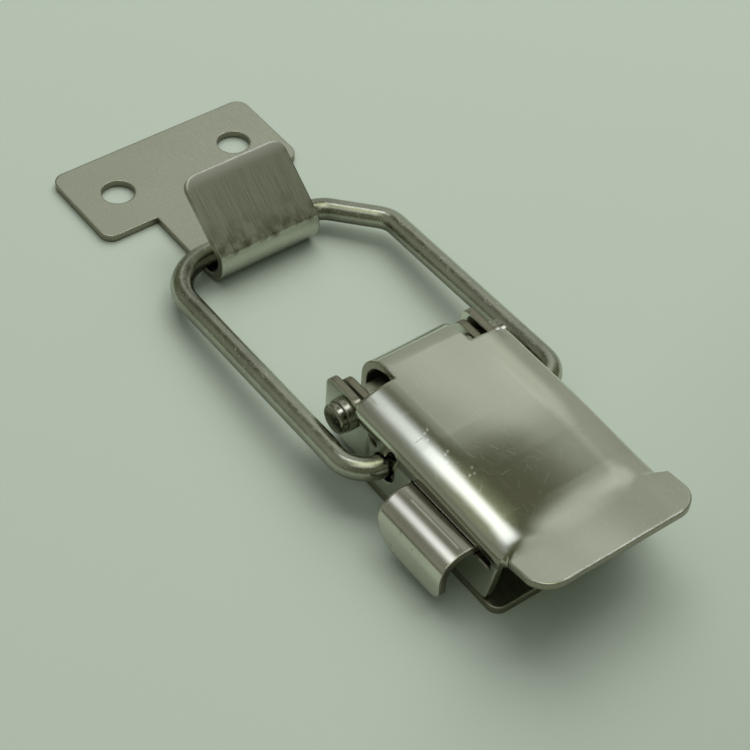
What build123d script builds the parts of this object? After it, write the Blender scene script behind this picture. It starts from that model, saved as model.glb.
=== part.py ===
from build123d import *
import os
from math import asin, atan, atan2, cos, degrees, hypot, pi, radians, sin, sqrt, tan

os.makedirs("parts", exist_ok=True)

# Over centre toggle latch with a sprung safety catch: folded stainless sheet and one bent wire.
# The origin is on the mounting face, straight under the lever's pivot, in the middle of the latch.
# X runs forward to the keeper, Y to the side with the catch's thumb tab, Z up from the mounting face.

# Stock
sheet = 1.2                # every folded piece is cut from the same sheet
wire = 3.5                 # diameter of the bail's wire
bend_inside = 0.8          # inside radius of a sharp fold

# Clearances
slide_gap = 0.25           # between faces that pass each other
rivet_fit = 0.1            # radial, a piece that turns on the pivot pin
bail_fit = 0.55            # radial, the bail's wire in the lever

# Pivots
pivot_height = 7.9         # lever pivot above the mounting face
bail_back = 10.0           # bail pivot, behind the lever pivot
bail_height = 6.5          # bail pivot above the mounting face, lever shut
pin = 3.8                  # pivot pin's diameter

# Lever
lever_width = 27.2
lever_rise = 5.6           # top of the lever above its pivot
flat_width = 14.0          # flat middle of the lever's top
shoulder_drop = 2.7        # how far the rolled shoulders come down
shoulder_turn = 25.0       # degrees of the wide arc that starts a shoulder
dip_inset = 19.2           # the top falls away behind this, ahead of the side walls' rear edges
dip_radius = 130.0
dip_slope = 3.5            # degrees
rise_inset = 4.2           # the top turns up behind this, ahead of the same edges
rise_radius = 34.0
notch_back = -2.6          # rear edge of the two corner notches
curl_width = 13.0          # front lip left between the notches
curl_radius = 5.6
curl_reach = 4.9           # front face of the lip
curl_drop = 3.5            # lower edge of the front lip, under the pivot
arm_inset = 1.1            # arms set in from the side walls
arm_front = 5.1
arm_rise = 3.2             # top of the arm's end above the pivot
arm_corner = 1.6
slit_depth = 3.6           # slit's upper edge, under the lever's top
slit = 1.5                 # between the arm and the rolled shoulder
slit_back = -7.5
joggle_rear = -6.9         # the arm is set in between these two
joggle_front = -4.4
bail_slot = 1.8            # width of the threading slot above the bail's hole
bail_slot_rise = 4.0
bail_slot_lean = 25.0      # degrees from upright
tail_land = 1.6            # side wall left behind the thumb tab, slid back
cheek_lean = 1.6           # the side walls' rear edges lean forward by this
slot_corner = 0.5

# Finger tab
tab_slope = 6.8            # degrees
tab_reach = 8.8            # behind the side walls
tab_corner = 3.8
tab_crown = 0.1

# Safety catch
catch_rise = 1.4           # upper face of the sliding plate above the pivot
catch_front = -15.2
catch_inset = 2.2          # rear edge of the plate, inside the lever's tail
catch_travel = 3.0
thumb_front = -16.0
thumb_length = 13.6
thumb_reach = 5.6          # outer face of the thumb tab, from the lever's side
thumb_radius = 4.0
thumb_foot = 1.9
thumb_corner = 4.5
thumb_rear_corner = 1.5
guide_length = 8.0
nose_hang = 1.4            # nose of the catch lug over the sliding plate
nose_tip_height = 0.4
lug_width = 3.3
lug_rear = -23.8

# Spring of the safety catch
spring_wire = 0.6
spring_diameter = 3.2
spring_bend = 0.8          # centre line radius where a hook leaves the coil
spring_turns = 4
spring_pitch = 1.3
coil_rear = -11.0
spring_ear = 3.0           # ear of the catch's plate, forward of its edge
spring_eye = -13.9
spring_eye_hole = 1.2
hook_wrap = 5.0            # degrees above the horizontal where the hook ends

# Base
base_past = 0.8            # base plate's rear edge, behind the lever's side walls
base_front = 4.5
base_corner = 1.8
ear_inset = 0.7            # ear's outer face, inside the arm's inner face
ear_rise = 2.6             # top of the ear above the pivot
ear_corner = 2.0
ear_rear = -4.5
sleeve = 4.8               # outside diameter of the spacer between the ears
washer = 1.3
washer_gap = 0.05
washer_radius = 2.5
rivet_head = 1.2
rivet_head_radius = 2.3
rivet_chamfer = 0.25
screw_hole = 5.3           # clearance for an M5 screw
base_hole_front = -9.0
base_hole_spacing = 20.5

# Keeper
keeper_width = 36.0
keeper_depth = 17.0
keeper_back = 71.6
keeper_corner = 2.1
keeper_hole_spacing = 21.7
keeper_hole_inset = 8.6
tongue_width = 17.8
hook_bend = 4.2            # outside radius where the tongue turns up
hook_front = 36.5          # foremost face of the hook, towards the lever
hook_lean = 18.0           # degrees that the riser leans back
hook_crease = 6.3          # height of the fold above the riser
hook_slope = 38.0          # degrees of the guide face above the mounting face
hook_reach = 13.0          # length of the guide face
hook_corner = 2.1

# Bail
bail_leg = 17.8            # leg's centre line from the middle of the latch
bail_yaw = 1.8             # degrees that the bail lies askew in its holes
bar_slack = 0.6            # bar to the bottom of the hook, measured along X
bar_lift = 0.15            # bar above the tongue
bail_root_bend = 4.6       # centre line radius at the lever
bail_corner = 8.0          # centre line radius at the end bar
bar_straight = 10.2        # end bar's length to the slanted side, from the middle
bail_slant = 8.6           # slanted side's length along the bail
bail_knee = 4.5            # centre line radius at both ends of the slanted side
bail_tail = 10.8           # inner ends of the wire from the middle

half_lever = lever_width / 2
wall_inside = half_lever - sheet
arm_outside = half_lever - arm_inset
wall_foot = sheet + slide_gap
lever_top = pivot_height + lever_rise
catch_top = pivot_height + catch_rise
thumb_rear = thumb_front - thumb_length
lever_tail = thumb_rear - catch_travel - tail_land


# Keeper: one blank whose tongue turns up in front of the bail's bar and folds back over it.
bend_centre = hook_front + hook_bend
lean = radians(hook_lean)
slope = radians(hook_slope)
riser_foot = (bend_centre - hook_bend * cos(lean), hook_bend * (1 + sin(lean)))
riser_run = (hook_crease - riser_foot[1]) / cos(lean)
crease = (riser_foot[0] + riser_run * sin(lean), hook_crease)
lip = (crease[0] + hook_reach * cos(slope), crease[1] + hook_reach * sin(slope))
keeper_shoulder = keeper_back - keeper_depth
keeper_hole_x = keeper_back - keeper_hole_inset

with BuildPart() as keeper:
    with BuildSketch(Plane.XZ):
        with BuildLine():
            Line((keeper_shoulder + sheet, 0), (bend_centre, 0))
            TangentArc((bend_centre, 0), riser_foot, tangent=(-1, 0))
            Line(riser_foot, crease)
            Line(crease, lip)
            offset(amount=sheet, side=Side.RIGHT, closed=True)
        make_face()
    extrude(amount=tongue_width / 2, both=True)
    lip_corners = keeper.edges().filter_by(GeomType.LINE).filter_by(Axis.Y, reverse=True)
    fillet(lip_corners.sort_by(Axis.Z)[-2:], hook_corner)
    with BuildSketch():
        with Locations((keeper_back - keeper_depth / 2, 0)):
            RectangleRounded(keeper_depth, keeper_width, keeper_corner)
        with Locations((keeper_hole_x, 0)):
            with GridLocations(0, keeper_hole_spacing, 1, 2):
                Circle(screw_hole / 2, mode=Mode.SUBTRACT)
    extrude(amount=sheet)
keeper.part.label = "keeper"
export_step(keeper.part, "parts/keeper.step")


# Base: a plate with two ears turned up for the pivot pin and a hooked lug for the safety catch.
bend_outside = bend_inside + sheet
ear_outside = arm_outside - sheet - ear_inset
ear_bend = ear_outside - bend_outside
shoulder_x = ear_rear - sheet / 2
base_rear = lever_tail - base_past
ear_top = pivot_height + ear_rise
lug_front = lug_rear + lug_width
nose_tip = lug_rear - slide_gap - nose_hang
nose_under = catch_top + slide_gap
lug_height = nose_under + sheet
lug_face = sheet / 2
lug_bend = lug_face - bend_outside

with BuildPart() as lug:
    with BuildSketch(Plane.YZ.offset(nose_tip)):
        with BuildLine():
            Line((lug_bend - bend_outside, 0), (lug_bend, 0))
            TangentArc((lug_bend, 0), (lug_face, bend_outside), tangent=(1, 0))
            Line((lug_face, bend_outside), (lug_face, lug_height))
            offset(amount=sheet, side=Side.LEFT, closed=True)
        make_face()
    extrude(amount=lug_front - nose_tip)
    with BuildSketch(Plane.XZ):
        with BuildLine():
            Polyline(
                (lug_front, 0),
                (lug_front, lug_height),
                (lug_rear, lug_height),
                (nose_tip, nose_under + nose_tip_height),
                (nose_tip, nose_under),
                (lug_rear, nose_under),
                (lug_rear, 0),
                close=True,
            )
        make_face()
    extrude(amount=half_lever, both=True, mode=Mode.INTERSECT)

with BuildPart() as base:
    with BuildSketch(Plane.YZ.offset(ear_rear)):
        with BuildLine():
            Line((ear_outside, ear_top), (ear_outside, bend_outside))
            TangentArc((ear_outside, bend_outside), (ear_bend, 0), tangent=(0, -1))
            Line((ear_bend, 0), (-ear_bend, 0))
            TangentArc((-ear_bend, 0), (-ear_outside, bend_outside), tangent=(-1, 0))
            Line((-ear_outside, bend_outside), (-ear_outside, ear_top))
            offset(amount=sheet, side=Side.RIGHT, closed=True)
        make_face()
    extrude(amount=base_front - ear_rear)
    ear_corners = base.edges().filter_by(Axis.Y).group_by(Axis.Z)[-1]
    fillet(ear_corners, ear_corner)
    with BuildSketch(Plane.XZ):
        with Locations((0, pivot_height)):
            Circle(pin / 2)
    extrude(amount=ear_outside, both=True, mode=Mode.SUBTRACT)
    with BuildSketch() as base_plate:
        with Locations(((base_rear + shoulder_x) / 2, 0)):
            Rectangle(shoulder_x - base_rear, lever_width)
        with Locations(((shoulder_x + base_front) / 2, 0)):
            Rectangle(base_front - shoulder_x, 2 * ear_bend)
        fillet(base_plate.vertices().group_by(Axis.X)[0], base_corner)
    extrude(amount=sheet)
    with BuildSketch():
        with Locations((base_hole_front, 0), (base_hole_front - base_hole_spacing, 0)):
            Circle(screw_hole / 2)
        with Locations(((nose_tip + lug_front) / 2, (lug_bend + lug_height) / 2)):
            Rectangle(lug_front - nose_tip + 2 * slide_gap, lug_height - lug_bend)
    extrude(amount=sheet, mode=Mode.SUBTRACT)
    add(lug.part)
base.part.label = "base"
export_step(base.part, "parts/base.step")


# Lever: one folded sheet, rolled at both shoulders. Its top dips towards the tail and flares out to
# a finger tab. It has a rolled front lip between two corner notches, and two arms for the pins.
flat_edge = flat_width / 2
arm_sweep = pivot_height - wall_foot
sweep_drop = sqrt(arm_sweep**2 - arm_front**2)
arm_top = lever_top - slit_depth - slit
slit_top = lever_top - slit_depth
slit_middle = arm_top + slit / 2
curl_front = curl_reach - curl_radius
curl_foot = pivot_height - curl_drop
thumb_middle = thumb_front - thumb_length / 2
slot_middle = thumb_middle - catch_travel / 2
slot_height = sheet + 2 * slide_gap
slot_spare = catch_travel + 2 * slide_gap
wall_middle = half_lever - sheet / 2
wall_depth = lever_top - wall_foot + sheet
dip_front = lever_tail + dip_inset
dip_rear = lever_tail + rise_inset

# Line of the top from the notches to the tail, then up to the tab's root.
dip = radians(dip_slope)
tab_tilt = radians(tab_slope)
slant_front = (dip_front - dip_radius * sin(dip), lever_top - dip_radius * (1 - cos(dip)))
slant_rear = (dip_rear, slant_front[1] - (slant_front[0] - dip_rear) * tan(dip))
rise_centre = (dip_rear - rise_radius * sin(dip), slant_rear[1] + rise_radius * cos(dip))
tail_tilt = asin((rise_centre[0] - lever_tail) / rise_radius)
tail_crown = rise_centre[1] - rise_radius * cos(tail_tilt)
tail_foot = (lever_tail - shoulder_drop * sin(tail_tilt), tail_crown - shoulder_drop * cos(tail_tilt))
tab_root = (rise_centre[0] - rise_radius * sin(tab_tilt), rise_centre[1] - rise_radius * cos(tab_tilt))
tab_rear = lever_tail - tab_reach
tail_plane = Plane(
    origin=(lever_tail, 0, tail_crown),
    x_dir=(0, 1, 0),
    z_dir=(cos(tail_tilt), 0, -sin(tail_tilt)),
)
tab_plane = Plane(
    origin=(tab_root[0], 0, tab_root[1]),
    x_dir=(0, 1, 0),
    z_dir=(cos(tab_tilt), 0, -sin(tab_tilt)),
)
tab_turn = 2 * degrees(atan(tab_crown / (half_lever - flat_edge)))


def top_outline(turn, drop):
    """Section of the top: flat in the middle, each shoulder bent down by a wide and a tight arc."""
    wide_turn = turn * shoulder_turn / 90
    first = radians(wide_turn)
    last = radians(turn)
    run_left = sin(last) - sin(first)
    fall_left = cos(first) - cos(last)
    scale = sin(first) * fall_left - (1 - cos(first)) * run_left
    wide = ((half_lever - flat_edge) * fall_left - drop * run_left) / scale
    tight = (drop - wide * (1 - cos(first))) / fall_left
    Line((-flat_edge, 0), (flat_edge, 0))
    Line((-flat_edge, -sheet), (flat_edge, -sheet))
    for side in (1, -1):
        outer = JernArc((side * flat_edge, 0), (side, 0), wide, -side * wide_turn)
        outer_foot = JernArc(outer @ 1, outer % 1, tight, side * (wide_turn - turn))
        inner = JernArc((side * flat_edge, -sheet), (side, 0), wide - sheet, -side * wide_turn)
        inner_foot = JernArc(inner @ 1, inner % 1, tight - sheet, side * (wide_turn - turn))
        Line(outer_foot @ 1, inner_foot @ 1)


with BuildPart() as flare:
    with BuildSketch(tail_plane):
        with BuildLine():
            top_outline(90, shoulder_drop)
        make_face()
    with BuildSketch(tab_plane):
        with BuildLine():
            top_outline(tab_turn, tab_crown)
        make_face()
    loft()

with BuildPart() as finger_tab:
    with BuildSketch(tab_plane):
        with BuildLine():
            top_outline(tab_turn, tab_crown)
        make_face()
    extrude(amount=-tab_reach)
    with BuildSketch():
        with BuildLine():
            FilletPolyline(
                (lever_tail, half_lever),
                (tab_rear, half_lever),
                (tab_rear, -half_lever),
                (lever_tail, -half_lever),
                radius=tab_corner,
            )
            Line((lever_tail, -half_lever), (lever_tail, half_lever))
        make_face()
    extrude(amount=2 * lever_top, mode=Mode.INTERSECT)

# The arms run forward under the slits, are set in, and end round the pivot pin.
with BuildPart() as arms:
    with BuildSketch(Plane.XY.offset(wall_foot)):
        with BuildLine():
            FilletPolyline(
                (slit_back - slit, half_lever),
                (joggle_rear, half_lever),
                (joggle_front, arm_outside),
                (arm_front, arm_outside),
                radius=bend_outside,
            )
            offset(amount=sheet, side=Side.RIGHT, closed=True)
        make_face()
        mirror(about=Plane.XZ)
    extrude(amount=pivot_height + arm_rise - wall_foot)
    with BuildSketch(Plane.XZ) as arm_side:
        with Locations(((slit_back - slit + arm_front) / 2, (wall_foot + arm_top) / 2)):
            Rectangle(arm_front - slit_back + slit, arm_top - wall_foot)
        with Locations(((notch_back + slide_gap + arm_front) / 2, pivot_height)):
            Rectangle(arm_front - notch_back - slide_gap, 2 * arm_rise)
        fillet(arm_side.vertices().group_by(Axis.Y)[-1], arm_corner)
        with BuildLine():
            Polyline((0, wall_foot), (arm_front, wall_foot), (arm_front, pivot_height - sweep_drop))
            RadiusArc((0, wall_foot), (arm_front, pivot_height - sweep_drop), -arm_sweep)
        make_face(mode=Mode.SUBTRACT)
    extrude(amount=half_lever, both=True, mode=Mode.INTERSECT)

with BuildPart() as lever:
    with BuildLine(Plane.XZ):
        Line((notch_back, lever_top), (dip_front, lever_top))
        CenterArc((dip_front, lever_top - dip_radius), dip_radius, 90, dip_slope)
        Line(slant_front, slant_rear)
        CenterArc(rise_centre, rise_radius, dip_slope - 90, -dip_slope - degrees(tail_tilt))
    with BuildSketch(Plane((notch_back, 0, lever_top), x_dir=(0, 1, 0), z_dir=(1, 0, 0))):
        with BuildLine():
            top_outline(90, shoulder_drop)
        make_face()
        with Locations((-wall_middle, -(shoulder_drop + wall_depth) / 2)):
            Rectangle(sheet, wall_depth - shoulder_drop)
        with Locations((wall_middle, -(shoulder_drop + wall_depth) / 2)):
            Rectangle(sheet, wall_depth - shoulder_drop)
    sweep()
    split(bisect_by=Plane.XY.offset(wall_foot))
    # Rear edges of the side walls, leaning forward under the shoulders.
    with BuildSketch(Plane.XZ):
        with BuildLine():
            Polyline(
                tail_foot,
                (lever_tail + cheek_lean, wall_foot),
                (lever_tail + cheek_lean, 0),
                (tab_root[0], 0),
                (tab_root[0], tail_foot[1]),
                close=True,
            )
        make_face()
    extrude(amount=half_lever, both=True, mode=Mode.SUBTRACT)
    foot_edges = lever.edges().filter_by(Axis.Y).group_by(Axis.Z)[0]
    fillet(foot_edges.group_by(Axis.X)[0], sheet)
    # Slits between the rolled shoulders and the arms, open at the front.
    with BuildSketch(Plane.XZ):
        with BuildLine():
            Polyline(
                (slit_back, 0),
                (notch_back, 0),
                (notch_back, lever_top - slit),
                (notch_back - slit, slit_top),
                (slit_back, slit_top),
                close=True,
            )
        make_face()
        with Locations((slit_back, slit_middle)):
            Circle(slit / 2)
    extrude(amount=half_lever, both=True, mode=Mode.SUBTRACT)
    # Front lip, rolled down between the notches.
    with BuildSketch(Plane.XZ):
        with BuildLine():
            Line((notch_back, lever_top), (curl_front, lever_top))
            TangentArc(
                (curl_front, lever_top),
                (curl_reach, lever_top - curl_radius),
                tangent=(1, 0),
            )
            Line((curl_reach, lever_top - curl_radius), (curl_reach, curl_foot))
            offset(amount=sheet, side=Side.RIGHT, closed=True)
        make_face()
    extrude(amount=curl_width / 2, both=True)
    add(flare.part)
    add(finger_tab.part)
    add(arms.part)
    # Pivot holes, and the bail's holes with the slots that its ends are threaded through.
    with BuildSketch(Plane.XZ):
        with Locations((0, pivot_height)):
            Circle(pin / 2 + rivet_fit)
        with Locations((-bail_back, bail_height)):
            Circle(wire / 2 + bail_fit)
        with Locations(Location((-bail_back, bail_height, 0), (0, 0, bail_slot_lean))):
            with Locations((0, bail_slot_rise / 2)):
                SlotOverall(bail_slot_rise + bail_slot, bail_slot, rotation=90)
    extrude(amount=half_lever, both=True, mode=Mode.SUBTRACT)
    # Slot for the thumb tab, with the catch's travel behind it, and a guide slot opposite.
    with BuildSketch(Plane.XZ.offset(-half_lever)):
        with Locations((slot_middle, catch_top - sheet / 2)):
            RectangleRounded(thumb_length + slot_spare, slot_height, slot_corner)
    extrude(amount=2 * sheet, mode=Mode.SUBTRACT)
    with BuildSketch(Plane.XZ.offset(half_lever)):
        with Locations((slot_middle, catch_top - sheet / 2)):
            RectangleRounded(guide_length + slot_spare, slot_height, slot_corner)
    extrude(amount=-2 * sheet, mode=Mode.SUBTRACT)
lever.part.label = "lever"
export_step(lever.part, "parts/lever.step")


# Bail: one bent wire, its ends turned in through the lever's arms.
bar_x = bend_centre + bar_slack
bar_z = sheet + bar_lift + wire / 2
bail_run = bar_x + bail_back
bail_fall = bar_z - bail_height
bail_length = hypot(bail_run, bail_fall)
yaw = radians(bail_yaw)
bail_plane = Plane(
    origin=(-bail_back, 0, bail_height),
    x_dir=(bail_run * cos(yaw), -bail_run * sin(yaw), bail_fall),
    z_dir=(-bail_fall * cos(yaw), bail_fall * sin(yaw), bail_run),
)

with BuildPart() as bail:
    with BuildLine(bail_plane) as bail_line:
        FilletPolyline(
            (0, bail_tail),
            (0, bail_leg),
            (bail_length, bail_leg),
            (bail_length, -bar_straight),
            (bail_length - bail_slant, -bail_leg),
            (0, -bail_leg),
            (0, -bail_tail),
            radius=(bail_root_bend, bail_corner, bail_knee, bail_knee, bail_root_bend),
        )
    with BuildSketch(Plane(origin=bail_line.line @ 0, z_dir=bail_line.line % 0)):
        Circle(wire / 2)
    sweep()
bail.part.label = "bail"
export_step(bail.part, "parts/bail.step")


# Pivot pin: a shouldered rivet, headed over a washer on each side.
washer_face = arm_outside + washer_gap + washer
pin_end = washer_face + rivet_head

with BuildPart() as pivot_pin:
    with BuildSketch(Plane.XY.offset(pivot_height)) as pin_half:
        with BuildLine():
            Polyline(
                (0, -pin_end),
                (rivet_head_radius, -pin_end),
                (rivet_head_radius, -washer_face),
                (pin / 2, -washer_face),
                (pin / 2, washer_face),
                (rivet_head_radius, washer_face),
                (rivet_head_radius, pin_end),
                (0, pin_end),
                close=True,
            )
        make_face()
        rims = pin_half.vertices().group_by(Axis.X)[-1].sort_by(Axis.Y)
        chamfer([rims[0], rims[-1]], rivet_chamfer)
    revolve(axis=Axis((0, 0, pivot_height), (0, 1, 0)))
pivot_pin.part.label = "pivot_pin"
export_step(pivot_pin.part, "parts/pivot_pin.step")

with BuildPart() as pivot_washers:
    with BuildSketch(Plane.XZ.offset(arm_outside + washer_gap), Plane.XZ.offset(-washer_face)):
        with Locations((0, pivot_height)):
            Circle(washer_radius)
            Circle(pin / 2 + rivet_fit / 2, mode=Mode.SUBTRACT)
    extrude(amount=washer)
pivot_washers.part.label = "pivot_washers"
export_step(pivot_washers.part, "parts/pivot_washers.step")

with BuildPart() as pivot_sleeve:
    with BuildSketch(Plane.XZ):
        with Locations((0, pivot_height)):
            Circle(sleeve / 2)
            Circle(pin / 2 + rivet_fit / 2, mode=Mode.SUBTRACT)
    extrude(amount=ear_outside - sheet - rivet_fit, both=True)
pivot_sleeve.part.label = "pivot_sleeve"
export_step(pivot_sleeve.part, "parts/pivot_sleeve.step")


# Safety catch: a sliding plate inside the lever, with a thumb tab rolled down outside it.
hook_radius = sleeve / 2 + spring_wire / 2 + rivet_fit
hook_height = pivot_height - hook_radius
thumb_root = half_lever + thumb_reach - thumb_radius
catch_rear = lever_tail + catch_inset
window_rear = lug_rear - slide_gap
window_front = lug_front + catch_travel + slide_gap

with BuildPart() as thumb_tab:
    with BuildSketch(Plane.YZ.offset(thumb_rear)):
        with BuildLine():
            Line((flat_edge, catch_top), (thumb_root, catch_top))
            TangentArc(
                (thumb_root, catch_top),
                (thumb_root + thumb_radius, catch_top - thumb_radius),
                tangent=(1, 0),
            )
            Line(
                (thumb_root + thumb_radius, catch_top - thumb_radius),
                (thumb_root + thumb_radius, thumb_foot),
            )
            offset(amount=sheet, side=Side.RIGHT, closed=True)
        make_face()
    extrude(amount=thumb_length)
    with BuildSketch(Plane.XZ) as thumb_side:
        with Locations((thumb_middle, (thumb_foot + catch_top) / 2)):
            Rectangle(thumb_length, catch_top - thumb_foot)
        fillet(thumb_side.vertices().group_by(Axis.Y)[0].sort_by(Axis.X)[-1], thumb_corner)
        fillet(thumb_side.vertices().group_by(Axis.Y)[0].sort_by(Axis.X)[0], thumb_rear_corner)
    extrude(amount=lever_width, both=True, mode=Mode.INTERSECT)

with BuildPart() as safety_catch:
    with BuildSketch(Plane.XY.offset(catch_top - sheet)):
        with Locations(((catch_rear + catch_front) / 2, 0)):
            Rectangle(catch_front - catch_rear, 2 * (wall_inside - 2 * slide_gap))
        with Locations((thumb_middle, -(half_lever - slide_gap) / 2)):
            Rectangle(guide_length, half_lever - slide_gap)
        with Locations((catch_front, 0)):
            Rectangle(2 * spring_ear, 2 * spring_ear)
        with Locations(((window_rear + window_front) / 2, 0)):
            Rectangle(window_front - window_rear, 2 * sheet, mode=Mode.SUBTRACT)
        with Locations((spring_eye, -spring_bend)):
            Circle(spring_eye_hole / 2, mode=Mode.SUBTRACT)
    extrude(amount=sheet)
    add(thumb_tab.part)
safety_catch.part.label = "safety_catch"
export_step(safety_catch.part, "parts/safety_catch.step")


# Catch spring: hooked up through the catch's ear and forward under the pivot's spacer.
coil_radius = (spring_diameter - spring_wire) / 2
coil_rise = atan2(spring_pitch, 2 * pi * coil_radius)
coil_front = coil_rear + spring_turns * spring_pitch
coil_bend = 90 - degrees(coil_rise)
bend_offset = spring_bend * cos(coil_rise)
bend_side = spring_bend * sin(coil_rise)
hook_side = spring_bend - bend_side
coil_plane = Plane(origin=(coil_rear, 0, hook_height + coil_radius), x_dir=(0, 0, -1), z_dir=(1, 0, 0))
coil = coil_plane * Helix(spring_pitch, spring_turns * spring_pitch, coil_radius)

with BuildLine(Plane.XZ.offset(hook_side)) as rear_hook:
    Line((spring_eye, catch_top + spring_wire), (spring_eye, hook_height + spring_bend))
    CenterArc((spring_eye + spring_bend, hook_height + spring_bend), spring_bend, 180, 90)
    Line((spring_eye + spring_bend, hook_height), (coil_rear - bend_offset, hook_height))
with BuildLine(Plane.XY.offset(hook_height)) as coil_ends:
    CenterArc((coil_rear - bend_offset, bend_side), spring_bend, -90, coil_bend)
    CenterArc((coil_front + bend_offset, -bend_side), spring_bend, 90, coil_bend)
with BuildLine(Plane.XZ.offset(-hook_side)) as front_hook:
    Line((coil_front + bend_offset, hook_height), (0, hook_height))
    CenterArc((0, pivot_height), hook_radius, -90, 90 + hook_wrap)
spring_line = Wire(rear_hook.edges() + coil_ends.edges() + coil.edges() + front_hook.edges())

with BuildPart() as catch_spring:
    with BuildSketch(Plane(origin=spring_line @ 0, z_dir=spring_line % 0)):
        RegularPolygon(spring_wire / 2, 8)
    sweep(path=spring_line)
catch_spring.part.label = "catch_spring"
export_step(catch_spring.part, "parts/catch_spring.step")
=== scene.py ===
from math import cos, degrees, pi, radians, sin

import bpy
from mathutils import Matrix, Vector

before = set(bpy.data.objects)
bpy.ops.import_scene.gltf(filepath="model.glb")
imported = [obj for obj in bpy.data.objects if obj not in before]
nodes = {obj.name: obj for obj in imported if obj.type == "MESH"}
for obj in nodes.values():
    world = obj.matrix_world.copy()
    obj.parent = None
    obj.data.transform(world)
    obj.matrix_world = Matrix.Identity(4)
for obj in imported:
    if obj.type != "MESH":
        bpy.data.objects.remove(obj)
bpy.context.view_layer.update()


# Base: one piece of 1.2 mm stainless sheet, blanked and folded, with two ears for the rivet.
# It is screwed down under the lever. It keeps the mill's satin face, and its sheared rims are
# dull and darker than its faces.

mm = 0.001
sheet_tint = (0.60, 0.62, 0.52)
along_bend = (5.0, 0.07, 0.07)


def add(tree, kind, setting=None, **inputs):
    """A new node. setting is its operation or kind; inputs are values or other nodes' sockets.

    An input goes by its label, or by i and its number where labels repeat.
    """
    node = tree.nodes.new(kind)
    for name, value in (setting or {}).items():
        setattr(node, name, value)
    for name, value in inputs.items():
        by_number = name[0] == "i" and name[1:].isdigit()
        socket = node.inputs[int(name[1:]) if by_number else name.replace("_", " ")]
        if isinstance(value, bpy.types.NodeSocket):
            tree.links.new(value, socket)
        else:
            socket.default_value = value
    return node


def sums(tree, operation, *values):
    """The result of one arithmetic operation on sockets or numbers."""
    node = tree.nodes.new("ShaderNodeMath")
    node.operation = operation
    for socket, value in zip(node.inputs, values):
        if isinstance(value, bpy.types.NodeSocket):
            tree.links.new(value, socket)
        else:
            socket.default_value = value
    return node.outputs[0]


def times(tree, first, *others):
    """The product of several masks or numbers."""
    for other in others:
        first = sums(tree, "MULTIPLY", first, other)
    return first


def most(tree, first, *others):
    """The strongest of several masks at each point."""
    for other in others:
        first = sums(tree, "MAXIMUM", first, other)
    return first


def ramp(tree, factor, *stops):
    """A colour ramp over factor; each stop is a place from 0 to 1 and a grey level or a colour."""
    node = tree.nodes.new("ShaderNodeValToRGB")
    tree.links.new(factor, node.inputs[0])
    elements = node.color_ramp.elements
    while len(elements) < len(stops):
        elements.new(0.5)
    for element, (place, tone) in zip(elements, stops):
        element.position = place
        element.color = (tone, tone, tone, 1) if isinstance(tone, float) else (*tone, 1)
    return node.outputs[0]


def fade(tree, value, start, end):
    """0 up to start, rising evenly to 1 at end and staying there; it falls if end is below start."""
    node = tree.nodes.new("ShaderNodeMath")
    node.operation = "MULTIPLY_ADD"
    node.use_clamp = True
    tree.links.new(value, node.inputs[0])
    node.inputs[1].default_value = 1 / (end - start)
    node.inputs[2].default_value = -start / (end - start)
    return node.outputs[0]


def parts_of(tree, vector):
    """The X, Y and Z parts of a vector."""
    return add(tree, "ShaderNodeSeparateXYZ", Vector=vector).outputs


def noise(tree, point, scale, detail):
    """Cloudy noise; scale is in clouds a metre, and detail is how many finer layers it has."""
    return add(tree, "ShaderNodeTexNoise", Vector=point, Scale=scale, Detail=detail).outputs


def lines(tree, point, lean, lengths, seed):
    """Fine noise drawn out to the given lengths in mm along X, Y and Z, turned by lean about Z."""
    turned = add(
        tree, "ShaderNodeMapping", {"vector_type": "TEXTURE"}, Vector=point, Rotation=(0, 0, lean)
    )
    scaled = add(
        tree, "ShaderNodeMapping", Vector=turned.outputs[0],
        Location=(seed, 1.7 * seed, 0.6 * seed),
        Scale=tuple(1 / (length * mm) for length in lengths),
    )
    return noise(tree, scaled.outputs[0], scale=1.0, detail=2.0)[0]


def hairlines(tree, point):
    """Hairline scratches that lie four ways."""
    leans, lengths, first_seed, seed_step = (0.35, 1.2, 2.3, 2.9), (2.6, 0.07, 0.5), 4.0, 3
    hairs = 0.0
    for number, lean in enumerate(leans):
        drawn = lines(tree, point, lean, lengths, seed=first_seed + seed_step * number)
        hairs = most(tree, hairs, ramp(tree, drawn, (0.71, 0.0), (0.745, 1.0)))
    return hairs


def sheared_edges(tree, point, cut):
    """Where cut finds a sheared face, from its place and from how far it faces along X, Y and Z."""
    place = parts_of(tree, point)
    flat_normal = tree.nodes.new("ShaderNodeNewGeometry").outputs["True Normal"]
    own_way = {"vector_type": "NORMAL", "convert_from": "WORLD", "convert_to": "OBJECT"}
    own_normal = add(tree, "ShaderNodeVectorTransform", own_way, Vector=flat_normal).outputs[0]
    facing = {part.name: sums(tree, "ABSOLUTE", part) for part in parts_of(tree, own_normal)}
    return cut(tree, place, facing)


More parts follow.
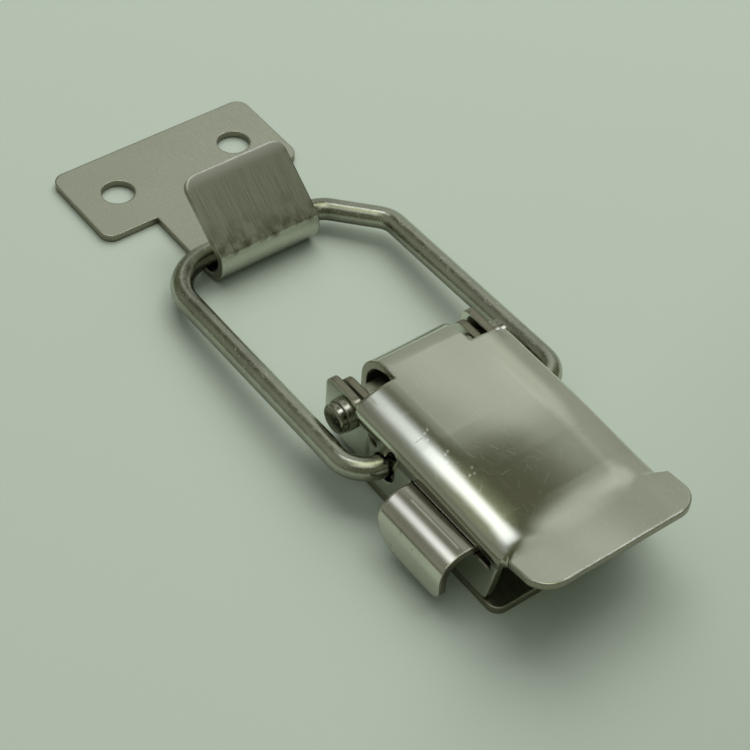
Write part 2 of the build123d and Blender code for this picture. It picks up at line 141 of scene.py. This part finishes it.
def stainless(name, tint, dull, sheen, grain, depth, hair, stain,
              rim=0.42, cut=None, bowed=None, marks=None):
    """Bare stainless steel: mill lines, hairline scratches, uneven colour and painted shade in the
    corners.

    dull and sheen are the roughness of its dullest and of its glossiest parts.
    grain is the length of the mill's lines along X, Y and Z in mm, and depth how deep they look.
    hair is the strength of the scratches, and stain that of the clouds in its colour.
    rim is the rounding of its edges in mm, and cut finds the edges that were sheared.
    bowed bends its normal, and marks gives its light marks and its dark marks; some of the dark
    marks are painted shade.
    """
    # The second colour serves real dark marks and painted shade alike; the third is the painted
    # shade in corners.
    light_mark, dark_mark_and_shade, corner_shade_tint = (0.86, 0.87, 0.82), (0.14, 0.12, 0.08), (0.13, 0.13, 0.10)
    sheared_share = (0.52, 0.48, 0.44)
    corner_reach, lines_height, hair_height, worn_roughness = 1.8, 0.02, -0.8, 0.16

    made = bpy.data.materials.new(name)
    made.use_nodes = True
    tree = made.node_tree
    shader = tree.nodes["Principled BSDF"]
    point = tree.nodes.new("ShaderNodeTexCoord").outputs["Object"]
    mill_lines = lines(tree, point, lean=0.0, lengths=grain, seed=1.0)
    clouds = noise(tree, point, scale=90.0, detail=4.0)[0]

    hairs, darks = times(tree, hairlines(tree, point), hair), 0.0
    if marks:
        lights, darks = marks(tree, point)
        hairs = most(tree, hairs, lights)
    sheared = sheared_edges(tree, point, cut) if cut else 0.0
    # Painted shade: the colour turns dark brown where corners and creases close in round a point.
    open_air = add(tree, "ShaderNodeAmbientOcclusion", {"samples": 6}, Distance=corner_reach * mm)
    corner_shade = fade(tree, open_air.outputs["AO"], start=0.66, end=0.16)

    clouded = tuple(part * (1 - stain) for part in tint)
    sheared_tint = tuple(part * share for part, share in zip(tint, sheared_share))
    colour = ramp(tree, clouds, (0.30, clouded), (0.62, tint))
    coats = ((sheared, sheared_tint), (hairs, light_mark), (darks, dark_mark_and_shade), (corner_shade, corner_shade_tint))
    for factor, over in coats:
        blend = add(
            tree, "ShaderNodeMix", {"data_type": "RGBA"}, i0=factor, i6=colour, i7=(*over, 1)
        )
        colour = blend.outputs[2]
    tree.links.new(colour, shader.inputs["Base Color"])

    gloss = ramp(tree, mill_lines, (0.25, sheen), (0.75, dull))
    rough = sums(tree, "MULTIPLY_ADD", most(tree, hairs, sheared), worn_roughness, gloss)
    tree.links.new(rough, shader.inputs["Roughness"])

    normal = add(tree, "ShaderNodeBevel", {"samples": 6}, Radius=rim * mm).outputs[0]
    if bowed:
        normal = bowed(tree, point, normal)
    relief = sums(tree, "MULTIPLY_ADD", hairs, hair_height, mill_lines)
    bump = add(
        tree, "ShaderNodeBump",
        Height=relief, Strength=depth, Distance=lines_height * mm, Normal=normal,
    )
    tree.links.new(bump.outputs[0], shader.inputs["Normal"])
    shader.inputs["Metallic"].default_value = 1.0
    return made


def dress(node_name, material):
    """Gives a CAD node's every material slot the finished material."""
    mesh = nodes[node_name].data
    for place in range(len(mesh.materials)):
        mesh.materials[place] = material


def base_cut(tree, place, facing):
    """The plate's rim, and the ears' edges above it."""
    on_plate = fade(tree, place["Z"], start=1.35 * mm, end=1.25 * mm)
    on_ears = fade(tree, place["Z"], start=1.6 * mm, end=2.0 * mm)
    rim = times(tree, fade(tree, facing["Z"], start=0.4, end=0.2), on_plate)
    ears = times(tree, fade(tree, facing["Y"], start=0.5, end=0.3), on_ears)
    return most(tree, rim, ears)


def painted_ear_shade(tree, point):
    """Painted shade that darkens the ears' outsides above the fold."""
    strength = 0.45
    place = parts_of(tree, point)
    outside = fade(tree, sums(tree, "ABSOLUTE", place["Y"]), start=10.3 * mm, end=10.5 * mm)
    above_fold = fade(tree, place["Z"], start=2 * mm, end=4 * mm)
    return 0.0, times(tree, outside, above_fold, strength)


base_steel = stainless(
    "base_sheet", sheet_tint, dull=0.34, sheen=0.26, grain=along_bend, depth=0.2,
    hair=0.4, stain=0.14, cut=base_cut, marks=painted_ear_shade,
)
dress("base", base_steel)


# Keeper: one piece of the same stainless sheet, its front turned up and over as a hook.
# It is screwed to the lid. Its plate is satin, and the bail has rubbed the hook's guide down its
# slope and left brown stains above the crook. Painted shade darkens the crook below them.

down_slope = (6.0, 0.10, 6.0)


def hook_wear_and_shade(tree, point):
    """Rubbed streaks down the hook's guide, a worn top edge, brown stains above the crook, and
    painted shade in the crook.
    """
    streak_lengths, stains_height = (9.0, 0.16, 9.0), 10 * mm
    top_strength, crook_shade_strength = 0.55, 0.32
    up = parts_of(tree, point)["Z"]
    streaks = lines(tree, point, lean=0.0, lengths=streak_lengths, seed=9.0)
    streaks = ramp(tree, streaks, (0.40, 0.02), (0.75, 0.24))
    on_hook = fade(tree, up, start=1.6 * mm, end=2.6 * mm)
    top_edge = fade(tree, up, start=12.9 * mm, end=13.9 * mm)
    light = most(tree, times(tree, on_hook, streaks), times(tree, top_edge, top_strength))

    blots = ramp(tree, noise(tree, point, scale=620.0, detail=4.0)[0], (0.42, 0.0), (0.62, 0.8))
    band = ramp(
        tree, times(tree, up, 1 / stains_height),
        (0.50, 0.0), (0.57, 0.7), (0.63, 1.0), (0.75, 0.5), (0.98, 0.0),
    )
    # Painted shade low on the hook, in the crook behind the bail's bar.
    crook_shade = times(
        tree,
        fade(tree, up, start=1.3 * mm, end=1.5 * mm),
        fade(tree, up, start=6.2 * mm, end=5.4 * mm),
        crook_shade_strength,
    )
    return light, most(tree, times(tree, band, blots), crook_shade)


def keeper_cut(tree, place, facing):
    """The plate's rim and holes, and both sides of the tongue and the hook."""
    on_plate = fade(tree, place["X"], start=49 * mm, end=50 * mm)
    rim = times(tree, fade(tree, facing["Z"], start=0.4, end=0.2), on_plate)
    return most(tree, rim, fade(tree, facing["Y"], start=0.6, end=0.8))


keeper_steel = stainless(
    "keeper_sheet", sheet_tint, dull=0.30, sheen=0.25, grain=down_slope, depth=0.1,
    hair=0.2, stain=0.05, cut=keeper_cut, marks=hook_wear_and_shade,
)
dress("keeper", keeper_steel)


# Lever: one folded stainless sheet, rolled at both shoulders and polished by handling.
# It turns on the rivet through the base's ears, and carries the bail and the safety catch.

crown_radius = 0.175
root_rounding = 2.2
wave_size = 0.01


def leaned(tree, normal, *leans):
    """A normal with small leans added to it, brought back to length one."""
    total = leans[0]
    for part in (*leans[1:], normal):
        both = add(tree, "ShaderNodeVectorMath", {"operation": "ADD"}, i0=total, i1=part)
        total = both.outputs[0]
    return add(tree, "ShaderNodeVectorMath", {"operation": "NORMALIZE"}, i0=total).outputs[0]


def crowned(tree, point, normal):
    """The top bows a little across and is faintly wavy, and the tab's root is widely rounded."""
    along, across = parts_of(tree, point)[:2]
    off_middle = sums(tree, "ABSOLUTE", across)
    on_flat = fade(tree, off_middle, start=9.5 * mm, end=6.5 * mm)
    bow = times(tree, across, 1 / crown_radius, on_flat)
    at_root = times(
        tree,
        fade(tree, along, start=-31 * mm, end=-33 * mm),
        fade(tree, along, start=-40 * mm, end=-38.5 * mm),
        fade(tree, off_middle, start=12 * mm, end=11 * mm),
    )
    wide = add(tree, "ShaderNodeBevel", {"samples": 8}, Radius=root_rounding * mm).outputs[0]
    normal = add(
        tree, "ShaderNodeMix", {"data_type": "VECTOR"}, i0=at_root, i4=normal, i5=wide
    ).outputs[1]
    wave = add(
        tree, "ShaderNodeVectorMath", {"operation": "MULTIPLY_ADD"},
        i0=noise(tree, point, scale=110.0, detail=1.0)["Color"],
        i1=(2 * wave_size, 2 * wave_size, 0), i2=(-wave_size, -wave_size, 0),
    )
    bowed = add(tree, "ShaderNodeCombineXYZ", Y=bow).outputs[0]
    return leaned(tree, normal, bowed, wave.outputs[0])


def strokes(tree, point, segments, width, strength):
    """Soft strokes, width mm wide, each from one x, y place in mm to another."""
    from_above = (1 / mm, 1 / mm, 0)
    flat = add(
        tree, "ShaderNodeVectorMath", {"operation": "MULTIPLY"}, i0=point, i1=from_above
    ).outputs[0]
    worn = 0.0
    for start, end in segments:
        way = Vector((*end, 0)) - Vector((*start, 0))
        from_start = add(
            tree, "ShaderNodeVectorMath", {"operation": "SUBTRACT"}, i0=flat, i1=(*start, 0)
        ).outputs[0]
        along = add(
            tree, "ShaderNodeVectorMath", {"operation": "DOT_PRODUCT"},
            i0=from_start, i1=way / way.length_squared,
        )
        share = sums(tree, "MAXIMUM", along.outputs["Value"], 0.0)
        share = sums(tree, "MINIMUM", share, 1.0)
        foot = add(
            tree, "ShaderNodeVectorMath", {"operation": "SCALE"}, i0=tuple(way), Scale=share
        ).outputs[0]
        off = add(
            tree, "ShaderNodeVectorMath", {"operation": "DISTANCE"}, i0=from_start, i1=foot
        ).outputs["Value"]
        here = ramp(tree, sums(tree, "DIVIDE", off, width), (0.3, 0.7), (1.0, 0.0))
        worn = most(tree, worn, here)
    return times(tree, worn, strength)


def lever_marks_and_shade(tree, point):
    """Dings and scratches on the left shoulder and the dip, and painted shade on the walls over the
    catch's slot.
    """
    ding_length, shade_strength = 0.12, 0.72
    dings = (
        (-12.48, 8.57), (-12.75, 9.24), (-13.87, 9.63), (-17.07, 8.66), (-17.28, 9.27),
        (-18.37, 9.82), (-19.07, 10.19), (-21.11, 7.75), (-22.05, 8.06), (-21.95, 8.77),
    )
    dots = [((x, y), (x - ding_length, y + ding_length)) for x, y in dings]
    cuts = (
        ((-24.8, 9.33), (-24.15, 8.48)), ((-24.24, 5.4), (-24.18, 3.95)),
        ((-18.76, 6.83), (-20.05, 6.44)), ((-8.44, 9.84), (-8.61, 8.59)),
        ((-21.3, 2.2), (-22.6, 1.6)), ((-19.5, 3.4), (-20.6, 2.9)),
    )
    scratches = (
        ((-20.5, 5.6), (-22.3, 5.1)), ((-25.6, 2.4), (-24.7, 1.2)), ((-27.2, 4.6), (-26.1, 3.9)),
        ((-23.2, -1.2), (-25.0, -1.9)), ((-17.8, 0.6), (-19.6, 0.1)),
        ((-26.4, -3.1), (-25.2, -4.2)), ((-22.4, 6.9), (-23.6, 6.2)),
        ((-28.3, 1.1), (-27.4, -0.2)), ((-24.6, 5.9), (-26.7, 5.7)),
    )
    nick = (((-13.15, 11.02), (-13.2, 9.95)),)
    light = most(
        tree,
        strokes(tree, point, dots, width=0.26, strength=1.0),
        strokes(tree, point, cuts, width=0.13, strength=0.4),
        strokes(tree, point, scratches, width=0.10, strength=0.3),
    )
    along, across, up = parts_of(tree, point)
    # Painted shade on the walls under the shoulders' overhang, above the catch's slot.
    shade_over_slot = times(
        tree,
        fade(tree, up, start=9.0 * mm, end=9.5 * mm),
        fade(tree, up, start=12.3 * mm, end=11.5 * mm),
        fade(tree, along, start=-10 * mm, end=-13 * mm),
        fade(tree, sums(tree, "ABSOLUTE", across), start=13.2 * mm, end=13.4 * mm),
        shade_strength,
    )
    return light, most(tree, strokes(tree, point, nick, width=0.14, strength=0.5), shade_over_slot)


def lever_cut(tree, place, facing):
    """The tab's rim, the lip's two ends, the walls' lower edges and the edges of the arms."""
    off_middle = sums(tree, "ABSOLUTE", place["Y"])
    on_tab = fade(tree, place["X"], start=-34.8 * mm, end=-35.2 * mm)
    tab = times(tree, fade(tree, facing["Z"], start=0.6, end=0.4), on_tab)
    lip = times(
        tree,
        fade(tree, facing["Y"], start=0.6, end=0.8),
        fade(tree, place["X"], start=-2.9 * mm, end=-2.3 * mm),
        fade(tree, off_middle, start=8 * mm, end=7 * mm),
    )
    on_arms = times(
        tree,
        fade(tree, off_middle, start=10.8 * mm, end=11.2 * mm),
        fade(tree, place["X"], start=-5 * mm, end=-4 * mm),
    )
    low_or_arms = most(tree, fade(tree, place["Z"], start=9.5 * mm, end=8.5 * mm), on_arms)
    walls = times(tree, fade(tree, facing["Y"], start=0.4, end=0.2), low_or_arms)
    return most(tree, tab, lip, walls)


lever_steel = stainless(
    "lever_sheet", sheet_tint, dull=0.13, sheen=0.08, grain=along_bend, depth=0.05,
    hair=0.6, stain=0.05, rim=0.55, cut=lever_cut, bowed=crowned, marks=lever_marks_and_shade,
)
dress("lever", lever_steel)


# Bail: one piece of 3.5 mm drawn stainless wire, bent to a loop, its ends turned in at the lever.
# Handling has dulled it unevenly, and it is darker than the sheet.
# Its sides and underside are darkened with painted shade.

wire_tint = (0.50, 0.52, 0.43)


def wire_underside_shade(tree, point):
    """Painted shade that darkens the wire's sides and underside, leaving its top as it is."""
    strength = 0.55
    facing_up = parts_of(tree, tree.nodes.new("ShaderNodeTexCoord").outputs["Normal"])["Z"]
    return 0.0, times(tree, fade(tree, facing_up, start=0.55, end=0.10), strength)


bail_steel = stainless(
    "bail_wire", wire_tint, dull=0.30, sheen=0.13, grain=(1.2, 0.5, 0.5), depth=0.5,
    hair=0.9, stain=0.35, marks=wire_underside_shade,
)
dress("bail", bail_steel)


# Pivot: a turned rivet, headed over a washer on each side, with a tube round it between the ears.
# All are plain steel, dark with oil from the riveting.

pin_steel = stainless(
    "pin_steel", (0.34, 0.34, 0.28), dull=0.24, sheen=0.14, grain=(0.4, 0.4, 0.4), depth=0.3,
    hair=0.5, stain=0.3,
)
washer_steel = stainless(
    "washer_steel", (0.42, 0.42, 0.35), dull=0.32, sheen=0.24, grain=(1.0, 1.0, 1.0), depth=0.2,
    hair=0.4, stain=0.2,
)
sleeve_steel = stainless(
    "sleeve_steel", (0.46, 0.46, 0.38), dull=0.34, sheen=0.26, grain=(0.1, 4.0, 0.1), depth=0.3,
    hair=0.4, stain=0.2,
)
dress("pivot_pin", pin_steel)
dress("pivot_washers", washer_steel)
dress("pivot_sleeve", sleeve_steel)


# Safety catch: a folded stainless plate that slides in the lever, with a thumb tab rolled down
# outside it. The tab is satin, with a bright scratch beside the lever's slot and dark scuffs low
# on its face.

catch_tint = (0.62, 0.61, 0.53)
roll_lean = -0.36


def catch_marks(tree, point):
    """A bright rubbed line along the slot, and scuffs on the thumb tab's face."""
    rub = (((-18.6, 15.55), (-28.4, 15.5)),)
    scuff_lengths, face_reach = (0.5, 1.0, 1.6), 25 * mm
    across = parts_of(tree, point)["Y"]
    low = ramp(tree, times(tree, across, 1 / face_reach), (0.70, 0.0), (0.76, 1.0))
    scuffs = lines(tree, point, lean=0.0, lengths=scuff_lengths, seed=21.0)
    scuffs = ramp(tree, scuffs, (0.66, 0.0), (0.73, 0.8))
    return strokes(tree, point, rub, width=0.22, strength=0.9), times(tree, low, scuffs)


def rolled(tree, point, normal):
    """The tab leaves the slot almost level and rolls over later than a true arc."""
    across = parts_of(tree, point)["Y"]
    on_roll = times(
        tree,
        fade(tree, across, start=15.2 * mm, end=18.0 * mm),
        fade(tree, across, start=19.1 * mm, end=18.3 * mm),
    )
    turned = add(tree, "ShaderNodeCombineXYZ", Y=times(tree, on_roll, roll_lean)).outputs[0]
    return leaned(tree, normal, turned)


def catch_cut(tree, place, facing):
    """The ends of the plate and of the thumb tab."""
    return fade(tree, facing["X"], start=0.6, end=0.8)


catch_steel = stainless(
    "catch_sheet", catch_tint, dull=0.21, sheen=0.13, grain=along_bend, depth=0.10,
    hair=0.4, stain=0.12, rim=0.45, cut=catch_cut, bowed=rolled, marks=catch_marks,
)
dress("safety_catch", catch_steel)


# Catch spring: wound from spring wire, hooked to the catch and under the pivot's tube.
# It is drawn wire, greyer than the sheet.

spring_steel = stainless(
    "spring_wire", (0.42, 0.42, 0.36), dull=0.35, sheen=0.25, grain=(1.0, 0.3, 0.3), depth=0.1,
    hair=0.2, stain=0.2, rim=0.05,
)
dress("catch_spring", spring_steel)


# Floor: a pale, plain and matt board, large enough to fill the view from any side.
# Painted shade makes it slightly darker towards the tail's right, where less of the room's light
# reaches it.

floor_half = 3.0
pale_floor, dim_floor = (0.71, 0.82, 0.675), (0.60, 0.70, 0.56)
painted_shade_towards, mottle_share = (-8.0, -3.0, 0), 0.12
around = ((-1, -1), (1, -1), (1, 1), (-1, 1))
floor_corners = [(x * floor_half, y * floor_half, 0) for x, y in around]
floor_mesh = bpy.data.meshes.new("floor")
floor_mesh.from_pydata(floor_corners, [], [(0, 1, 2, 3)])
floor = bpy.data.objects.new("floor", floor_mesh)
bpy.context.scene.collection.objects.link(floor)
floor_paint = bpy.data.materials.new("floor_paint")
floor_paint.use_nodes = True
paint = floor_paint.node_tree
floor_point = paint.nodes.new("ShaderNodeTexCoord").outputs["Object"]
# Painted shade: the floor's colour falls towards the tail's right, with random mottle on top.
to_corner = add(
    paint, "ShaderNodeVectorMath", {"operation": "DOT_PRODUCT"}, i0=floor_point, i1=painted_shade_towards
).outputs["Value"]
mottle = noise(paint, floor_point, scale=14.0, detail=2.0)[0]
shade = sums(paint, "MULTIPLY_ADD", mottle, mottle_share, to_corner)
floor_tints = ramp(paint, shade, (0.25, pale_floor), (0.75, dim_floor))
board_shader = paint.nodes["Principled BSDF"]
paint.links.new(floor_tints, board_shader.inputs["Base Color"])
board_shader.inputs["Roughness"].default_value = 0.8
board_shader.inputs["Specular IOR Level"].default_value = 0.2
floor_mesh.materials.append(floor_paint)


# Room: a dim brownish studio with pale boards low behind the keeper and soft boxes above.
# Bare steel shows them all, so each is painted on the sky by its heading and its rise in degrees.
# Heading is turned from +X towards +Y, and rise is the height over the floor.

world = bpy.data.worlds.new("room")
bpy.context.scene.world = world
world.use_nodes = True
room = world.node_tree
way = parts_of(room, room.nodes.new("ShaderNodeTexCoord").outputs["Generated"])
rise = times(room, sums(room, "ARCSINE", way["Z"]), degrees(1))
heading = times(room, sums(room, "ARCTAN2", way["Y"], way["X"]), degrees(1))


def levels(value, *stops):
    """A curve through (degrees, level) stops, level beyond its ends."""
    first, last = stops[0][0], stops[-1][0]
    place = sums(room, "MULTIPLY_ADD", value, 1 / (last - first), -first / (last - first))
    return ramp(room, place, *(((at - first) / (last - first), level) for at, level in stops))


def lit(level, colour):
    """A level of light in a colour."""
    return add(
        room, "ShaderNodeVectorMath", {"operation": "SCALE"}, i0=colour, Scale=level
    ).outputs[0]


def panel(brightness, colour, across, upward):
    """A soft-edged board; across is its headings and upward its rises, from dark to lit to dark."""
    left, full_left, full_right, right = across
    foot, full_foot, full_top, top = upward
    by_heading = levels(heading, (left, 0.0), (full_left, 1.0), (full_right, 1.0), (right, 0.0))
    by_rise = levels(rise, (foot, 0.0), (full_foot, 1.0), (full_top, 1.0), (top, 0.0))
    return lit(times(room, by_heading, by_rise, brightness), colour)


dim, board, soft = (1.0, 1.03, 0.68), (1.0, 1.03, 1.03), (0.97, 1.0, 1.12)
walls_and_ceiling = levels(
    rise,
    (-20, 0.10), (30, 0.15), (52, 0.11), (59, 0.12), (66, 0.28), (74, 0.6), (84, 1.3), (90, 1.3),
)
room_light = lit(walls_and_ceiling, dim)
for part in (
    # The wide board behind the keeper shows in every level face.
    panel(0.28, board, (-84, -65, -26, -14), (-30, 6, 49, 54)),
    # Brighter sheets on it show in the lever's front, in its top and in its rear.
    panel(0.13, board, (-44, -34, -20, -10), (30, 46, 53, 57)),
    panel(0.22, board, (-56, -48, -40, -34), (38, 42, 47, 51)),
    panel(0.25, board, (-62, -57, -50, -45), (20, 32, 41, 46)),
    # A faint one on the left shows in the walls and in the bail.
    panel(0.12, board, (16, 28, 70, 110), (5, 15, 60, 70)),
    # A narrow soft box on the right makes the bright line on the rims that face the tail.
    panel(3.20, soft, (-122, -112, -86, -72), (51, 57, 66, 78)),
    # A board over the tail shows in rounded faces low on the left.
    panel(0.80, board, (75, 105, 165, 179), (50, 60, 82, 90)),
    # The soft box over the keeper makes the highlights on the left shoulder and the thumb tab.
    panel(1.55, soft, (-23, -7, 11, 27), (54, 62, 78, 88)),
):
    room_light = add(
        room, "ShaderNodeVectorMath", {"operation": "ADD"}, i0=room_light, i1=part
    ).outputs[0]

# Matt surfaces see an even light from above instead, so that the boards throw no shadows.
even = levels(rise, (-10, 0.01), (12, 0.01), (30, 0.07), (45, 0.26), (60, 0.40), (90, 0.54))
on_matt = room.nodes.new("ShaderNodeLightPath").outputs["Is Diffuse Ray"]
seen = add(
    room, "ShaderNodeMix", {"data_type": "RGBA"}, i0=on_matt, i6=room_light, i7=even
).outputs[2]
background = room.nodes["Background"]
room.links.new(seen, background.inputs["Color"])
background.inputs["Strength"].default_value = 1.0


# Key light: a large soft box high behind the latch and a little to its right.
# It lights the floor and throws the soft shadow towards the tail; it is out of the steel's sight.

key_heading, key_rise = radians(-48), radians(52)
key_reach, key_width, key_radiance = 1.0, 1.1, 1.62
key = bpy.data.lights.new("key", "AREA")
key.shape = "SQUARE"
key.size = key_width
key.energy = key_radiance * pi * key_width**2
key_stand = bpy.data.objects.new("key", key)
key_way = Vector(
    (cos(key_rise) * cos(key_heading), cos(key_rise) * sin(key_heading), sin(key_rise))
)
key_turn = key_way.to_track_quat("Z", "Y").to_matrix().to_4x4()
key_stand.matrix_world = Matrix.Translation(key_way * key_reach) @ key_turn
key_stand.visible_glossy = False
bpy.context.scene.collection.objects.link(key_stand)


# Camera: above the lever's tail, looking down along the latch to the keeper.
# It is a long lens, turned a few degrees out of level.

lens_heading = radians(-39.07)
lens_fall = radians(46.31)
lens_roll = radians(3.51)
lens_place = Vector((-157.64, 136.01, 225.31)) * mm
focal_in_frames = 2140.1 / 750
look = Vector(
    (cos(lens_heading) * cos(lens_fall), sin(lens_heading) * cos(lens_fall), -sin(lens_fall))
)
level = Vector((sin(lens_heading), -cos(lens_heading), 0))
upright = level.cross(look)
right = level * cos(lens_roll) + upright * sin(lens_roll)
up = upright * cos(lens_roll) - level * sin(lens_roll)
lens = bpy.data.cameras.new("camera")
lens.sensor_width = 36.0
lens.lens = lens.sensor_width * focal_in_frames
lens.clip_start = 0.01
camera = bpy.data.objects.new("camera", lens)
camera.matrix_world = Matrix(
    (
        (right.x, up.x, -look.x, lens_place.x),
        (right.y, up.y, -look.y, lens_place.y),
        (right.z, up.z, -look.z, lens_place.z),
        (0, 0, 0, 1),
    )
)
bpy.context.scene.collection.objects.link(camera)
bpy.context.scene.camera = camera
bpy.context.scene.view_settings.view_transform = "Standard"
